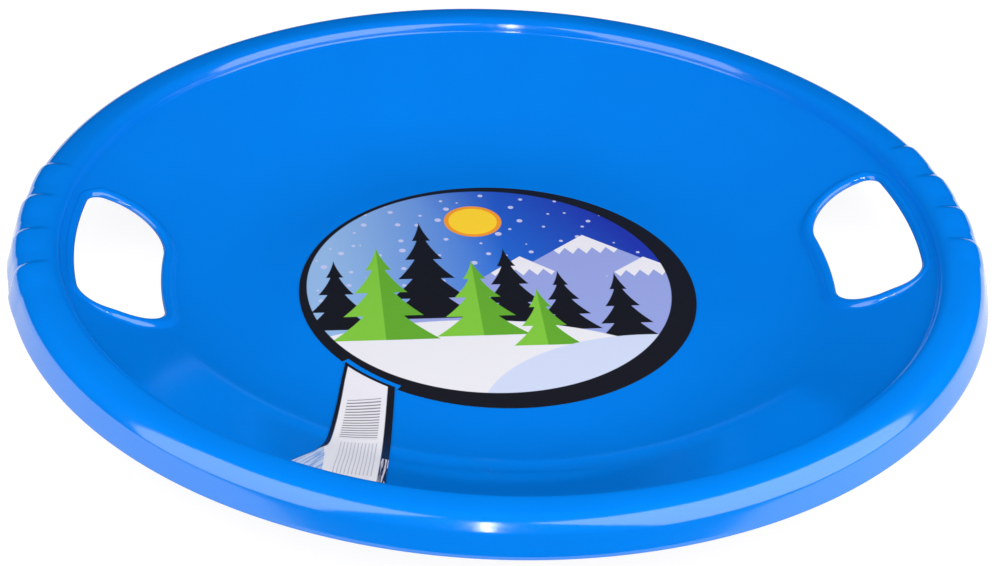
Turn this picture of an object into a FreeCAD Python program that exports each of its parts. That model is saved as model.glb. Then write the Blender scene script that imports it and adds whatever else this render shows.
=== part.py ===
import FreeCAD, Part
import math
import os

import Sketcher

# A round saucer sled: one moulded dish with two hand holes, a round sticker on its floor and a label strip.
# Millimetres and degrees. The origin is under the middle of the floor, +Z is up, and X runs through the
# hand holes.

SIZES = (
    # Dish: the upper face and the wall under it
    ("rim_radius", 300.0, "radius at the foot of the skirt"),
    ("rim_height", 57.4, "height of the rim's shoulders, under its slight crown"),
    ("wall_thickness", 3.0, "thickness of the moulding"),
    ("wall_run", 130.0, "top of the sloping wall in to the flat of the floor, over wall and fillet"),
    ("wall_angle", 26.0, "slope of the wall, which settles the fillet between it and the floor"),
    ("rim_rise", 9.0, "top of the sloping wall up to the rim's shoulders"),
    ("riser_run", 0.2, "top of the sloping wall out to the inner side of the rim"),
    ("rim_top_width", 11.3, "between the middles of the rim's two shoulder rounds"),
    ("rim_top_radius", 48.5, "round of the rim's crowned top"),
    ("shoulder_radius", 8.0, "round at each side of the rim's top"),
    ("skirt_flare", 12.5, "foot of the skirt in to the middle of the outer shoulder round"),
    ("skirt_drop", 20.9, "rim's shoulders down to the foot of the skirt"),
    # Hand holes
    ("hole_margin", 7.5, "top of the sloping wall in to the hole"),
    ("hole_width", 50.9, "across the wall, in plan"),
    ("hole_length", 121.6, "along the rim"),
    ("hole_inner_bow", 262.0, "radius of the edge towards the middle"),
    ("hole_outer_bow", 271.0, "radius of the edge towards the rim"),
    ("hole_back_inner_corner", 33.4, "corner radius at the back, towards the middle"),
    ("hole_back_outer_corner", 10.0, "corner radius at the back, towards the rim"),
    ("hole_front_inner_corner", 20.0, "corner radius at the front, towards the middle"),
    ("hole_front_outer_corner", 22.5, "corner radius at the front, towards the rim"),
    ("lip_width", 5.6, "edge of the hole out to the foot of its raised lip"),
    ("lip_height", 2.4, "proud of the wall"),
    ("lip_root", 1.8, "depth of the lip's own layer inside the wall"),
    ("lip_inner_round", 2.2, "round of the lip's edge over the hole"),
    ("lip_outer_round", 1.8, "round of the lip's outer edge"),
    # Knuckle ribs over the rim, outside each hand hole
    ("knuckle_pitch_angle", 7.75, "degrees from rib to rib"),
    ("knuckle_shift_angle", 1.7, "degrees that the group sits towards the back"),
    ("knuckle_height", 1.4, "proud of the rim"),
    ("knuckle_curve", 40.0, "radius across a rib"),
    ("knuckle_lean_angle", 45.0, "direction in which a rib stands out, above the horizontal"),
    ("knuckle_root", 0.6, "depth of a rib's ends inside the rim"),
    ("knuckle_wall", 2.0, "thickness of a rib's own layer"),
    # Round sticker
    ("sticker_margin", 13.0, "flat of the floor left bare round the sticker"),
    ("sticker_thickness", 0.4, "film"),
    # Label strip; angles are from the front (-Y) towards the left (-X)
    ("label_inset", 0.8, "head of the strip inside the sticker's round"),
    ("label_head_left_angle", 53.4, "left corner of the head"),
    ("label_head_right_angle", 35.6, "right corner of the head"),
    ("label_flare_run", 42.2, "end of the strip back to where its left edge flares"),
    ("label_flare_angle", 32.7, "where the left edge flares"),
    ("label_margin", 7.0, "top of the sloping wall in to the end of the strip"),
    ("label_end_left_angle", 31.8, "left corner of the end"),
    ("label_end_right_angle", 19.8, "right corner of the end"),
    ("label_thickness", 0.4, "film"),
    ("label_lift", 0.3, "slack under the film, which bridges the curved seat"),
    ("label_gap", 3.9, "bare plastic between sticker and label head"),
    ("label_side_angle", 1.1, "degrees of bare plastic beside the label head"),
)

# Places that follow from the sizes, so that a change of one size carries its neighbours along
PLACES = (
    ("rim_width", "skirt_flare + rim_top_width + shoulder_radius + riser_run"),
    ("wall_radius", "rim_radius - rim_width"),
    ("floor_radius", "rim_radius - rim_width - wall_run"),
    ("wall_height", "rim_height - rim_rise"),
    ("inner_hub", "rim_radius - skirt_flare - rim_top_width"),
    ("outer_hub", "rim_radius - skirt_flare"),
    ("hub_height", "rim_height - shoulder_radius"),
    ("skirt_foot", "rim_height - skirt_drop"),
    ("hole_outer_hub", "rim_radius - rim_width - hole_margin - hole_outer_bow"),
    ("hole_inner_hub", "rim_radius - rim_width - hole_margin - hole_width - hole_inner_bow"),
    ("lip_layer", "lip_height + lip_root"),
    ("sticker_radius", "rim_radius - rim_width - wall_run - sticker_margin"),
    ("label_head_radius", "rim_radius - rim_width - wall_run - sticker_margin - label_inset"),
    ("label_end_radius", "rim_radius - rim_width - label_margin"),
    ("label_flare_radius", "rim_radius - rim_width - label_margin - label_flare_run"),
    ("notch_radius", "rim_radius - rim_width - wall_run - sticker_margin - label_inset - label_gap"),
    ("notch_left", "label_head_left_angle + label_side_angle"),
    ("notch_right", "label_head_right_angle - label_side_angle"),
)

KNUCKLES = 4
QUARTER_TURN = 90

# How a face's normal tells its kind: its upward part is below one value, or above the other
UPRIGHT_BELOW = 0.01
UPPER_ABOVE = 0.5

# How near in plan an edge stands to the outline that made it
ON_OUTLINE = 0.01

# How a sketch counts the spots of an edge, and its own origin and axes
START, END, CENTRE = range(1, 4)
ORIGIN = (-1, 1)
V_AXIS, H_AXIS = range(-2, 0)

doc = FreeCAD.newDocument("saucer_sled")
sheet = doc.addObject("Spreadsheet::Sheet", "sheet")
places = doc.addObject("Spreadsheet::Sheet", "places")
size = {}
home = {}


def cell(expression):
    """Write sizes by name: each word that is a size or a place becomes its cell."""
    return " ".join(home.get(word, word) for word in expression.split(" "))


def fill_sheets():
    """Put the sizes and places in their sheets, and read all their values back."""
    for row, (name, value, note) in enumerate(SIZES, start=1):
        sheet.set("A%d" % row, name)
        sheet.set("B%d" % row, str(value))
        sheet.set("C%d" % row, note)
        sheet.setAlias("B%d" % row, name)
        home[name] = "sheet." + name
    doc.recompute()
    for row, (name, formula) in enumerate(PLACES, start=1):
        places.set("A%d" % row, name)
        places.set("B%d" % row, "=" + cell(formula))
        places.setAlias("B%d" % row, name)
    doc.recompute()
    for name, _, _ in SIZES:
        size[name] = float(getattr(sheet, name))
    for name, _ in PLACES:
        size[name] = float(getattr(places, name))
        home[name] = "places." + name


def vec(x, y, z=0.0):
    return FreeCAD.Vector(x, y, z)


def bind(target, path, expression):
    target.setExpression(path, cell(expression))


def plan_sketch(name):
    """A sketch on the ground plane."""
    return doc.addObject("Sketcher::SketchObject", name)


def upright_sketch(name):
    """A sketch through the dish's axis: its first axis points to the back (+Y), its second up."""
    sketch = doc.addObject("Sketcher::SketchObject", name)
    stand = FreeCAD.Rotation(vec(1, 0), QUARTER_TURN)
    turn = FreeCAD.Rotation(vec(0, 0, 1), QUARTER_TURN)
    sketch.Placement = FreeCAD.Placement(vec(0, 0), turn * stand)
    return sketch


def add_line(sketch, a, b):
    return sketch.addGeometry(Part.LineSegment(vec(*a), vec(*b)), False)


def add_arc(sketch, centre, start, end):
    """An arc about a centre, anticlockwise from start to end."""
    radius = math.dist(centre, start)
    first = math.atan2(start[1] - centre[1], start[0] - centre[0])
    last = math.atan2(end[1] - centre[1], end[0] - centre[0])
    circle = Part.Circle(vec(*centre), vec(0, 0, 1), radius)
    return sketch.addGeometry(Part.ArcOfCircle(circle, first, last), False)


def constrain(sketch, kind, *where, to=None, start=0.0):
    """Add a constraint; a dimension starts at the drawn value and is then bound to the sheet."""
    if to is None:
        return sketch.addConstraint(Sketcher.Constraint(kind, *where))
    index = sketch.addConstraint(Sketcher.Constraint(kind, *where, start))
    bind(sketch, "Constraints[%d]" % index, to)
    return index


def place(sketch, item, point, at, x, y):
    """Tie one point of a sketch, drawn at a position, to two sizes measured from the origin."""
    constrain(sketch, "DistanceX", *ORIGIN, item, point, to=x, start=at[0])
    constrain(sketch, "DistanceY", *ORIGIN, item, point, to=y, start=at[1])


def round_off(sketch, item, radius, to):
    constrain(sketch, "Radius", item, to=to, start=radius)


def draw_seat(sketch):
    """Upper face of the sled from its middle to the top of the wall; returns the wall's line."""
    floor = size["wall_thickness"]
    top = (size["wall_radius"], size["wall_height"])
    foot = (size["floor_radius"], floor)
    slope = math.radians(size["wall_angle"])
    rise = top[1] - floor
    fillet_radius = (size["wall_run"] * math.sin(slope) - rise * math.cos(slope)) / (1 - math.cos(slope))
    centre = (foot[0], floor + fillet_radius)
    bend = (centre[0] + fillet_radius * math.sin(slope), centre[1] - fillet_radius * math.cos(slope))
    flat = add_line(sketch, (0, floor), foot)
    fillet = add_arc(sketch, centre, foot, bend)
    wall = add_line(sketch, bend, top)
    constrain(sketch, "PointOnObject", flat, START, V_AXIS)
    constrain(sketch, "Horizontal", flat)
    place(sketch, flat, END, foot, "floor_radius", "wall_thickness")
    constrain(sketch, "Tangent", flat, END, fillet, START)
    constrain(sketch, "Tangent", fillet, END, wall, START)
    constrain(sketch, "Angle", wall, to="wall_angle * 1 deg", start=slope)
    place(sketch, wall, END, top, "wall_radius", "wall_height")
    return wall


def draw_rim(sketch):
    """Upper face of the rim, from inner shoulder to foot of the skirt; returns the inner shoulder's arc."""
    foot = (size["rim_radius"], size["skirt_foot"])
    inner_hub = (size["inner_hub"], size["hub_height"])
    outer_hub = (size["outer_hub"], size["hub_height"])
    radius = size["shoulder_radius"]
    reach = math.dist(foot, outer_hub)
    lean = math.atan2(outer_hub[1] - foot[1], outer_hub[0] - foot[0]) - math.asin(radius / reach)
    run = math.sqrt(reach ** 2 - radius ** 2)
    shoulder_end = (foot[0] + run * math.cos(lean), foot[1] + run * math.sin(lean))
    half_width = size["rim_top_width"] / 2
    below = math.sqrt((size["rim_top_radius"] - radius) ** 2 - half_width ** 2)
    top_hub = (outer_hub[0] - half_width, outer_hub[1] - below)
    tilt = math.atan2(half_width, below)
    inner_meet = (inner_hub[0] - radius * math.sin(tilt), inner_hub[1] + radius * math.cos(tilt))
    outer_meet = (outer_hub[0] + radius * math.sin(tilt), outer_hub[1] + radius * math.cos(tilt))
    inner_shoulder = add_arc(sketch, inner_hub, inner_meet, (inner_hub[0] - radius, inner_hub[1]))
    top = add_arc(sketch, top_hub, outer_meet, inner_meet)
    outer_shoulder = add_arc(sketch, outer_hub, shoulder_end, outer_meet)
    skirt = add_line(sketch, shoulder_end, foot)
    constrain(sketch, "Tangent", top, END, inner_shoulder, START)
    constrain(sketch, "Tangent", top, START, outer_shoulder, END)
    constrain(sketch, "Tangent", outer_shoulder, START, skirt, START)
    round_off(sketch, top, size["rim_top_radius"], "rim_top_radius")
    round_off(sketch, inner_shoulder, radius, "shoulder_radius")
    round_off(sketch, outer_shoulder, radius, "shoulder_radius")
    place(sketch, inner_shoulder, CENTRE, inner_hub, "inner_hub", "hub_height")
    place(sketch, outer_shoulder, CENTRE, outer_hub, "outer_hub", "hub_height")
    place(sketch, skirt, END, foot, "rim_radius", "skirt_foot")
    return inner_shoulder


def draw_riser(sketch, wall, inner_shoulder):
    """Steep line from the top of the wall to the rim's inner shoulder, which it touches."""
    corner = (size["wall_radius"], size["wall_height"])
    hub = (size["inner_hub"], size["hub_height"])
    reach = math.dist(corner, hub)
    heading = math.atan2(hub[1] - corner[1], hub[0] - corner[0]) + math.asin(size["shoulder_radius"] / reach)
    length = math.sqrt(reach ** 2 - size["shoulder_radius"] ** 2)
    top = (corner[0] + length * math.cos(heading), corner[1] + length * math.sin(heading))
    riser = add_line(sketch, corner, top)
    constrain(sketch, "Coincident", riser, START, wall, END)
    constrain(sketch, "Tangent", riser, END, inner_shoulder, END)


def draw_rib(sketch):
    """The rim's face for a knuckle rib, which starts at the middle height of the inner shoulder."""
    inner_shoulder = draw_rim(sketch)
    constrain(sketch, "DistanceY", *ORIGIN, inner_shoulder, END, to="hub_height", start=size["hub_height"])


def draw_hole(sketch, growth):
    """Outline of the hand hole at +X, with two bowed long edges, grown by a size."""
    extra = size[growth] if growth else 0.0
    more = " + " + growth if growth else ""
    less = " - " + growth if growth else ""
    inner = size["hole_inner_bow"] - extra
    outer = size["hole_outer_bow"] + extra
    inner_hub = size["hole_inner_hub"]
    outer_hub = size["hole_outer_hub"]
    half = size["hole_length"] / 2 + extra

    def corner(end, hub, bow, name, turn):
        """Centre of a corner's round, where it meets the long edge, and where it meets the straight end."""
        radius = size[name] + extra
        reach = bow + turn * radius
        up = half - radius
        across = math.sqrt(reach ** 2 - up ** 2)
        meet = (hub + across * bow / reach, end * up * bow / reach)
        return (hub + across, end * up), meet, (hub + across, end * half)

    back_rim, back_rim_meet, back_rim_end = corner(1, outer_hub, outer, "hole_back_outer_corner", -1)
    back_seat, back_seat_meet, back_seat_end = corner(1, inner_hub, inner, "hole_back_inner_corner", 1)
    front_rim, front_rim_meet, front_rim_end = corner(-1, outer_hub, outer, "hole_front_outer_corner", -1)
    front_seat, front_seat_meet, front_seat_end = corner(-1, inner_hub, inner, "hole_front_inner_corner", 1)
    rim_edge = add_arc(sketch, (outer_hub, 0), front_rim_meet, back_rim_meet)
    back_outer = add_arc(sketch, back_rim, back_rim_meet, back_rim_end)
    back = add_line(sketch, back_rim_end, back_seat_end)
    back_inner = add_arc(sketch, back_seat, back_seat_end, back_seat_meet)
    seat_edge = add_arc(sketch, (inner_hub, 0), front_seat_meet, back_seat_meet)
    front_inner = add_arc(sketch, front_seat, front_seat_meet, front_seat_end)
    front = add_line(sketch, front_seat_end, front_rim_end)
    front_outer = add_arc(sketch, front_rim, front_rim_end, front_rim_meet)
    constrain(sketch, "Tangent", rim_edge, END, back_outer, START)
    constrain(sketch, "Tangent", back_outer, END, back, START)
    constrain(sketch, "Tangent", back, END, back_inner, START)
    constrain(sketch, "Tangent", back_inner, END, seat_edge, END)
    constrain(sketch, "Tangent", seat_edge, START, front_inner, START)
    constrain(sketch, "Tangent", front_inner, END, front, START)
    constrain(sketch, "Tangent", front, END, front_outer, START)
    constrain(sketch, "Tangent", front_outer, END, rim_edge, START)
    for edge, hub in ((rim_edge, "hole_outer_hub"), (seat_edge, "hole_inner_hub")):
        constrain(sketch, "PointOnObject", edge, CENTRE, H_AXIS)
        constrain(sketch, "DistanceX", *ORIGIN, edge, CENTRE, to=hub, start=size[hub])
    round_off(sketch, rim_edge, outer, "hole_outer_bow" + more)
    round_off(sketch, seat_edge, inner, "hole_inner_bow" + less)
    for arc, name in ((back_outer, "hole_back_outer_corner"), (back_inner, "hole_back_inner_corner"),
                      (front_outer, "hole_front_outer_corner"), (front_inner, "hole_front_inner_corner")):
        round_off(sketch, arc, size[name] + extra, name + more)
    constrain(sketch, "Horizontal", back)
    constrain(sketch, "Horizontal", front)
    constrain(sketch, "DistanceY", *ORIGIN, back, START, to="hole_length / 2" + more, start=half)
    constrain(sketch, "DistanceY", front, START, *ORIGIN, to="hole_length / 2" + more, start=half)


def front_point(radius, angle):
    """A plan point given by its radius and its angle from the front (-Y) towards the left (-X)."""
    a = math.radians(angle)
    return -radius * math.sin(a), -radius * math.cos(a)


def steer(sketch, item, point, radius, angle):
    """Tie a point of a concentric arc to its angle from the front."""
    at = front_point(size[radius], size[angle])
    leftwards = "%s * sin( %s * 1 deg )" % (radius, angle)
    constrain(sketch, "DistanceX", item, point, *ORIGIN, to=leftwards, start=-at[0])


def concentric(sketch, radius, first, last):
    """An arc about the middle of the dish, anticlockwise between two angles from the front."""
    corners = [front_point(size[radius], size[angle]) for angle in (first, last)]
    arc = add_arc(sketch, (0, 0), *corners)
    constrain(sketch, "Coincident", arc, CENTRE, *ORIGIN)
    round_off(sketch, arc, size[radius], radius)
    steer(sketch, arc, START, radius, first)
    steer(sketch, arc, END, radius, last)
    return arc


def link(sketch, *ends):
    """A straight side between two points, each given as an item and one of its ends."""
    points = [sketch.getPoint(item, end) for item, end in ends]
    side = add_line(sketch, *[(point.x, point.y) for point in points])
    for own_end, other in zip((START, END), ends):
        constrain(sketch, "Coincident", side, own_end, *other)
    return side


def draw_sticker(sketch):
    """Round outline with a shallow notch that leaves the label's head clear."""
    rim = concentric(sketch, "sticker_radius", "notch_right", "notch_left")
    bay = concentric(sketch, "notch_radius", "notch_left", "notch_right")
    link(sketch, (rim, END), (bay, START))
    link(sketch, (bay, END), (rim, START))


def draw_label(sketch):
    """Plan of the label strip: concentric head and end, straight sides, flared at the left near its end."""
    head = concentric(sketch, "label_head_radius", "label_head_left_angle", "label_head_right_angle")
    foot = concentric(sketch, "label_end_radius", "label_end_left_angle", "label_end_right_angle")
    flare = front_point(size["label_flare_radius"], size["label_flare_angle"])
    end = sketch.getPoint(foot, START)
    flare_side = add_line(sketch, flare, (end.x, end.y))
    constrain(sketch, "Coincident", flare_side, END, foot, START)
    steer(sketch, flare_side, START, "label_flare_radius", "label_flare_angle")
    forwards = "label_flare_radius * cos( label_flare_angle * 1 deg )"
    constrain(sketch, "DistanceY", flare_side, START, *ORIGIN, to=forwards, start=-flare[1])
    link(sketch, (head, START), (flare_side, START))
    link(sketch, (foot, END), (head, END))


def thicken(name, sketch, depth, over=False):
    """Face between an open outline and its own offset, on the outline's lower or upper side."""
    face = doc.addObject("Part::Offset2D", name)
    face.Source = sketch
    face.Mode = "Skin"
    face.Join = "Intersection"
    face.Fill = True
    bind(face, "Value", depth)
    doc.recompute()
    rises = face.Shape.BoundBox.ZMax > sketch.Shape.BoundBox.ZMax + size[depth] / 2
    if rises != over:
        bind(face, "Value", "-1 * " + depth)
    return face


def spin(name, face):
    """A full turn of a face about the dish's axis."""
    solid = doc.addObject("Part::Revolution", name)
    solid.Source = face
    solid.Axis = vec(0, 0, 1)
    solid.Angle = 360
    solid.Solid = True
    return solid


def raise_outline(name, sketch):
    """Upright prism on a plan outline, as tall as the rim."""
    prism = doc.addObject("Part::Extrusion", name)
    prism.Base = sketch
    prism.DirMode = "Custom"
    prism.Dir = vec(0, 0, 1)
    prism.Solid = True
    bind(prism, "LengthFwd", "rim_height")
    return prism


def common(name, *things):
    overlap = doc.addObject("Part::MultiCommon", name)
    overlap.Shapes = things
    return overlap


def fused(name, things):
    joined = doc.addObject("Part::MultiFuse", name)
    joined.Shapes = things
    return joined


def mirrored(name, thing):
    """The same solid on the other side of the Y-Z plane."""
    twin = doc.addObject("Part::Mirroring", name)
    twin.Source = thing
    twin.Normal = vec(1, 0)
    return twin


def knuckle(name, face, index):
    """One rib: the rim's own section, moved outwards and swung about an axis square to the lean."""
    rib = doc.addObject("Part::Revolution", name)
    rib.Source = face
    rib.Symmetric = True
    rib.Solid = True
    out = "( shoulder_radius + knuckle_height - knuckle_curve )"
    bind(rib, "Base.y", "outer_hub + %s * cos( knuckle_lean_angle * 1 deg )" % out)
    bind(rib, "Base.z", "hub_height + %s * sin( knuckle_lean_angle * 1 deg )" % out)
    bind(rib, "Axis.y", "-1 * sin( knuckle_lean_angle * 1 deg )")
    bind(rib, "Axis.z", "cos( knuckle_lean_angle * 1 deg )")
    bind(rib, "Angle", "2 * acos( 1 - ( knuckle_height + knuckle_root ) / knuckle_curve )")
    steps = index - (KNUCKLES - 1) / 2
    rib.Placement.Rotation = FreeCAD.Rotation(vec(0, 0, -1), QUARTER_TURN)
    from_back = "( %d - knuckle_shift_angle - knuckle_pitch_angle * %s ) * 1 deg" % (QUARTER_TURN, steps)
    bind(rib, "Placement.Rotation.Angle", from_back)
    return rib


def top_edges(shape, outline):
    """Numbers of the edges over a plan outline, at either hole, where a side meets an upper face."""
    found = []
    for number, edge in enumerate(shape.Edges, start=1):
        middle = edge.valueAt((edge.FirstParameter + edge.LastParameter) / 2)
        plan = Part.Vertex(abs(middle.x), middle.y, 0)
        if outline.distToShape(plan)[0] > ON_OUTLINE:
            continue
        rises = []
        for face in shape.ancestorsOfType(edge, Part.Face):
            u, v = face.Surface.parameter(middle)
            rises.append(face.normalAt(u, v).z)
        upright = min(abs(rise) for rise in rises) < UPRIGHT_BELOW
        if upright and max(rises) > UPPER_ABOVE:
            found.append(number)
    return found


def rounded(name, base, outline, radius):
    """A solid with its upper edges over a plan outline rounded."""
    doc.recompute()
    smooth = doc.addObject("Part::Fillet", name)
    smooth.Base = base
    smooth.Edges = [(number, size[radius], size[radius]) for number in top_edges(base.Shape, outline.Shape)]
    return smooth


def make_dish():
    skin = upright_sketch("dish_skin")
    wall = draw_seat(skin)
    draw_riser(skin, wall, draw_rim(skin))
    shell = spin("shell", thicken("shell_section", skin, "wall_thickness"))

    seat = upright_sketch("lip_skin")
    draw_seat(seat)
    bind(seat, "Placement.Base.z", "lip_height")
    lip_outline = plan_sketch("lip_outline")
    draw_hole(lip_outline, "lip_width")
    lip_layer = spin("lip_layer", thicken("lip_section", seat, "lip_layer"))
    lip_block = common("lip_block", raise_outline("lip_prism", lip_outline), lip_layer)
    lip = rounded("right_lip", lip_block, lip_outline, "lip_outer_round")

    rim = upright_sketch("knuckle_rim")
    draw_rib(rim)
    bind(rim, "Placement.Base.y", "knuckle_height * cos( knuckle_lean_angle * 1 deg )")
    bind(rim, "Placement.Base.z", "knuckle_height * sin( knuckle_lean_angle * 1 deg )")
    rib_face = thicken("knuckle_section", rim, "knuckle_wall")
    ribs = [knuckle("right_knuckle_%d" % (index + 1), rib_face, index) for index in range(KNUCKLES)]

    hole_outline = plan_sketch("hole_outline")
    draw_hole(hole_outline, None)
    hole = raise_outline("right_hole", hole_outline)

    added = []
    for thing in [lip] + ribs:
        added += [thing, mirrored(thing.Name.replace("right", "left"), thing)]
    whole = fused("dish_whole", [shell] + added)
    pierced = doc.addObject("Part::Cut", "dish_pierced")
    pierced.Base = whole
    pierced.Tool = fused("both_holes", [hole, mirrored("left_hole", hole)])
    return rounded("dish", pierced, hole_outline, "lip_inner_round")


def make_sticker():
    body = doc.addObject("PartDesign::Body", "round_sticker")
    outline = body.newObject("Sketcher::SketchObject", "sticker_outline")
    plane = next(item for item in body.Origin.OriginFeatures if item.Role == "XY_Plane")
    outline.AttachmentSupport = [(plane, "")]
    outline.MapMode = "FlatFace"
    bind(outline, "AttachmentOffset.Base.z", "wall_thickness")
    draw_sticker(outline)
    film = body.newObject("PartDesign::Pad", "sticker_film")
    film.Profile = outline
    bind(film, "Length", "sticker_thickness")
    return body


def make_label():
    outline = plan_sketch("label_outline")
    draw_label(outline)
    underside = upright_sketch("label_skin")
    draw_seat(underside)
    bind(underside, "Placement.Base.z", "label_lift")
    film = spin("label_layer", thicken("label_section", underside, "label_thickness", over=True))
    return common("label_strip", raise_outline("label_prism", outline), film)


fill_sheets()
parts = {"dish": make_dish(), "round_sticker": make_sticker(), "label_strip": make_label()}
doc.recompute()

failed = [item.Name for item in doc.Objects if "Invalid" in item.State or "Error" in item.State]
if failed:
    raise RuntimeError("objects that failed: " + ", ".join(failed))
for name, item in parts.items():
    item.Label = name
    shape = item.Shape
    if shape.isNull() or not shape.isValid() or len(shape.Solids) != 1:
        raise RuntimeError(name + " is not one valid solid")

os.makedirs("parts", exist_ok=True)
for name, item in parts.items():
    item.Shape.exportStep("parts/%s.step" % name)
    box = item.Shape.BoundBox
    print("%-14s %7.1f x %7.1f x %6.1f mm, %9.1f mm3, %d faces"
          % (name, box.XLength, box.YLength, box.ZLength, item.Shape.Volume, len(item.Shape.Faces)))
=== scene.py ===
# %% [markdown]
# # A round saucer sled
# The real sled is one glossy plastic moulding with two films stuck on it. The CAD model gives each piece its
# size and place, so it is loaded first and never moved. The pieces made here lie where their CAD nodes lie.

# %% Load the CAD frame
import math

import bmesh
import bpy
from mathutils import Matrix, Vector


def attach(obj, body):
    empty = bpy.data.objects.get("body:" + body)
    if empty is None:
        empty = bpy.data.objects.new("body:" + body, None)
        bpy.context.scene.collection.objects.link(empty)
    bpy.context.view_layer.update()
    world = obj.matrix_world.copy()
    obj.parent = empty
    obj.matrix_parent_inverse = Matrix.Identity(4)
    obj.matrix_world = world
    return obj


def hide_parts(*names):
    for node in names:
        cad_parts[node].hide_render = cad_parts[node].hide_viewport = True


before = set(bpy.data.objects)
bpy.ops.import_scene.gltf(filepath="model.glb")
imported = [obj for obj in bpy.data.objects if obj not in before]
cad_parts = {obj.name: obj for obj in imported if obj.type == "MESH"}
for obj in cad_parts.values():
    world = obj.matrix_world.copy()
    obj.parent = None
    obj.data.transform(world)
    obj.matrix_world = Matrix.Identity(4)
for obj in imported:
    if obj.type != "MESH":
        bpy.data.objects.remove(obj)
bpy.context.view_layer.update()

MM = 0.001
print("CAD nodes:", sorted(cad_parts))

# %% [markdown]
# ## The section of the dish
# A round moulding is easiest to make as a lathe would make it: draw half of its section once, then turn it
# about the upright axis. The section starts as a plane that is merged to one point. A straight run is an
# extruded point, and a round is the same point turned about a centre with the spin tool, so every round
# stays a true arc and meets its neighbours smoothly. Only the upper skin is drawn. Its thickness comes later.

# %% Helpers for starting and finishing a piece
SMOOTH_ANGLE = 35.0


def leave_everything():
    """Deselect all objects, because an operator acts on all that is selected."""
    if bpy.context.object and bpy.context.object.mode == "EDIT":
        bpy.ops.object.mode_set(mode="OBJECT")
    bpy.ops.object.select_all(action="DESELECT")


def start_from_point(name):
    """A new object at the origin, in edit mode, whose mesh is one selected point."""
    leave_everything()
    bpy.ops.mesh.primitive_plane_add(size=MM)
    piece = bpy.context.object
    piece.name = name
    bpy.ops.object.mode_set(mode="EDIT")
    bpy.ops.mesh.select_mode(type="VERT")
    bpy.ops.mesh.select_all(action="SELECT")
    bpy.ops.mesh.merge(type="CENTER")
    return piece


def finish_with(piece, kind, **settings):
    """Add a modifier to a piece, set it up and apply it."""
    leave_everything()
    bpy.context.view_layer.objects.active = piece
    piece.select_set(True)
    bpy.ops.object.modifier_add(type=kind)
    modifier = piece.modifiers[-1]
    for name, value in settings.items():
        setattr(modifier, name, value)
    bpy.ops.object.modifier_apply(modifier=modifier.name)


def soft_step(value, low, high):
    """0 below the low value, 1 above the high one, and a smooth climb between them."""
    share = min(max((value - low) / (high - low), 0), 1)
    return share * share * (3 - 2 * share)


# %% Draw the section
# Millimetres and degrees, with radii from the upright axis and heights over the table
WALL_THICKNESS = 3.0
FLOOR_FLAT = 138.0
SEAT_ROUND = 159.9
WALL_SLOPE = 26.0
WALL_TOP_RADIUS = 267.98
VALLEY_ROUND = 2.2
RISER_SLOPE = 82.0
INNER_SHOULDER_ROUND = 8.0
RIM_TOP_TILT = 6.31
RIM_TOP_ROUND = 48.5
OUTER_SHOULDER_ROUND = 12.0
SKIRT_SLOPE = -72.35
SKIRT_TOP_HEIGHT = 48.82
SKIRT_FOOT = 36.5


class Pen:
    """Draws in the X-Z plane from the selected point, in millimetres and degrees."""

    def __init__(self, x, z):
        self.spot = Vector((x, 0, z))
        self.heading = 0.0
        bpy.ops.transform.translate(value=self.spot * MM)

    def run(self, length, steps=1):
        along = Vector((math.cos(math.radians(self.heading)), 0, math.sin(math.radians(self.heading))))
        for _ in range(steps):
            bpy.ops.mesh.extrude_region_move(TRANSFORM_OT_translate={"value": along * length / steps * MM})
        self.spot += along * length

    def turn_to(self, heading, radius, steps):
        angle = math.radians(heading - self.heading)
        now = math.radians(self.heading)
        left = Vector((-math.sin(now), 0, math.cos(now)))
        centre = self.spot + left * math.copysign(radius, angle)
        bpy.ops.mesh.spin(steps=steps, angle=angle, center=centre * MM, axis=(0, 1, 0))
        self.spot = centre + Matrix.Rotation(-angle, 3, "Y") @ (self.spot - centre)
        self.heading = heading


def corner_reach(radius, turn):
    """How much of each neighbour a round takes away from a corner."""
    return radius * math.tan(math.radians(abs(turn)) / 2)


def drop(radius, first, last):
    """How much height a round gains while its heading falls from first to last."""
    return radius * (math.cos(math.radians(last)) - math.cos(math.radians(first)))


def riser_length(start_height):
    """Length of the riser that brings the rim's top to the right height over the skirt."""
    top_edge = SKIRT_TOP_HEIGHT - drop(OUTER_SHOULDER_ROUND, -RIM_TOP_TILT, SKIRT_SLOPE)
    rise = top_edge - drop(INNER_SHOULDER_ROUND, RISER_SLOPE, RIM_TOP_TILT) - start_height
    return rise / math.sin(math.radians(RISER_SLOPE))


dish = start_from_point("sled_dish")
pen = Pen(0, WALL_THICKNESS)
pen.run(FLOOR_FLAT, steps=6)
pen.turn_to(WALL_SLOPE, SEAT_ROUND, steps=26)
valley_reach = corner_reach(VALLEY_ROUND, RISER_SLOPE - WALL_SLOPE)
wall_length = (WALL_TOP_RADIUS - pen.spot.x) / math.cos(math.radians(WALL_SLOPE)) - valley_reach
pen.run(wall_length, steps=16)
wall_end = pen.spot.x
pen.turn_to(RISER_SLOPE, VALLEY_ROUND, steps=8)
pen.run(riser_length(pen.spot.z), steps=2)
pen.turn_to(RIM_TOP_TILT, INNER_SHOULDER_ROUND, steps=14)
pen.turn_to(-RIM_TOP_TILT, RIM_TOP_ROUND, steps=8)
pen.turn_to(SKIRT_SLOPE, OUTER_SHOULDER_ROUND, steps=16)
pen.run((pen.spot.z - SKIRT_FOOT) / math.sin(math.radians(-SKIRT_SLOPE)), steps=6)
print("the section ends at radius %.2f mm and height %.2f mm" % (pen.spot.x, pen.spot.z))

# %% [markdown]
# ## Turning the section
# The spin tool sweeps the section about the upright axis. Near the hand holes the rim has narrow ribs, so
# the sweep takes small steps there and larger ones elsewhere. The first and last sections lie on each other
# and are merged, and so are all the copies of the middle point.

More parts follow.
